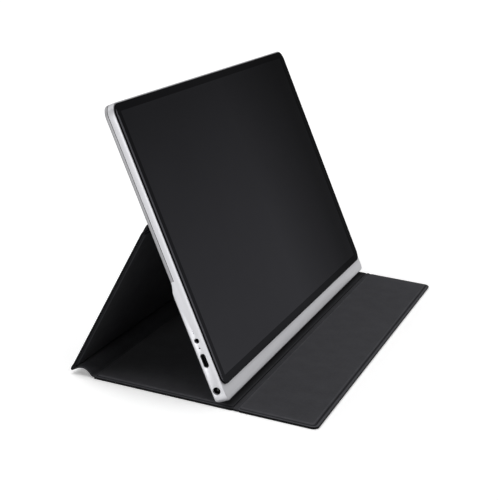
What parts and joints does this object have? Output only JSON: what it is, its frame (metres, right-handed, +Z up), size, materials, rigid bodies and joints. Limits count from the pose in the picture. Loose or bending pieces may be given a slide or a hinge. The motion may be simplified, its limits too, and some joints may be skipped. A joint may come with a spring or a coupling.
{
  "type": "portable monitor with cover",
  "caption": "Thin flat screen in a silver housing, propped up at a lean by a folding leather cover with a strut, a base and a front flap.",
  "frame": {"origin": "centre of the footprint, on the surface that the cover lies on", "axes": "+X along the screen to the viewer's right, +Y away from the viewer, +Z up"},
  "size_m": [0.368, 0.1876, 0.2005],
  "materials": {
    "screen_glass": "polished black cover glass",
    "gasket": "black adhesive foam",
    "display": "dark display layers",
    "light_guide": "clear acrylic with diffuser films",
    "silver_housing": "fine bead-blasted silver",
    "back_cover": "satin silver grey",
    "steel": "plain plated steel",
    "black_plastic": "moulded black plastic",
    "circuit_board": "green solder mask",
    "cable": "polyimide and coloured insulation",
    "cover_skin": "dark charcoal pressed grain",
    "cover_lining": "dark charcoal brushed microfibre",
    "panel_board": "plain glass-fibre sheet",
    "magnet": "nickel-plated magnet"
  },
  "bodies": {
    "base": {"base_board": "panel_board", "base_skin": "cover_skin", "base_lining": "cover_lining", "flap_crease": "cover_skin"},
    "flap": {"flap_board": "panel_board", "flap_skin": "cover_skin", "flap_lining": "cover_lining", "flap_magnets": "magnet"},
    "spine": {"spine_skin": "cover_skin", "spine_lining": "cover_lining", "strut_crease": "cover_skin", "spine_crease": "cover_skin"},
    "strut": {"strut_board": "panel_board", "strut_skin": "cover_skin", "strut_lining": "cover_lining"},
    "screen": {"cover_glass": "screen_glass", "glass_gasket": "gasket", "lcd_cell": "display", "light_guide": "light_guide", "led_strip": "light_guide", "backlight_tray": "steel", "housing_frame": "silver_housing", "mid_frame": "back_cover", "rear_plate": "back_cover", "lower_back_cover": "silver_housing", "main_board": "circuit_board", "shield_can": "steel", "usb_c_socket": "steel", "usb_c_tongue": "black_plastic", "audio_jack": "black_plastic", "dc_socket": "black_plastic", "dc_pin": "steel", "status_light_pipe": "light_guide", "button_board": "circuit_board", "tact_switches": "black_plastic", "speaker_left": "black_plastic", "speaker_right": "black_plastic", "speaker_leads": "cable", "display_flex": "cable", "cover_screws": "steel", "board_screws": "steel", "steel_plates": "steel", "back_panel_board": "panel_board", "back_panel_skin": "cover_skin", "back_panel_lining": "cover_lining", "back_panel_magnets": "magnet", "panel_crease": "cover_skin"},
    "power_button": {"power_button": "silver_housing"},
    "menu_rocker": {"menu_rocker": "silver_housing"}
  },
  "joints": [
    {"name": "strut_fold", "type": "hinge", "parent": "spine", "child": "strut", "pos_m": [0, 0.09287, 0.003], "axis": [-1, 0, 0], "range_deg": [0, 107], "deforming": ["strut_crease"]},
    {"name": "spine_fold", "type": "hinge", "parent": "base", "child": "spine", "pos_m": [0, 0.07697, 0.00125], "axis": [-1, 0, 0], "range_deg": [0, 6.28], "deforming": ["spine_crease"]},
    {"name": "screen_fold", "type": "hinge", "parent": "strut", "child": "screen", "pos_m": [0, 0.04264, 0.11651], "axis": [1, 0, 0], "range_deg": [0, 48.8], "deforming": ["panel_crease"]},
    {"name": "flap_fold", "type": "hinge", "parent": "base", "child": "flap", "pos_m": [0, -0.03392, 0.0007], "axis": [-1, 0, 0], "range_deg": [0, 116], "deforming": ["flap_crease"]},
    {"name": "power_press", "type": "slide", "parent": "screen", "child": "power_button", "axis": [-1, 0, 0], "range_m": [0, 0.0004], "stiffness_N_per_m": 600},
    {"name": "menu_rock", "type": "hinge", "parent": "screen", "child": "menu_rocker", "pos_m": [0.1802, -0.00854, 0.03047], "axis": [0, 0.8829, -0.4695], "range_deg": [-2.2, 2.2], "stiffness_Nm_per_rad": 0.05}
  ],
  "couplings": [
    {"joint": "spine_fold", "follows": "strut_fold", "ratio": 0.05868},
    {"joint": "screen_fold", "follows": "strut_fold", "ratio": 0.45606}
  ]
}
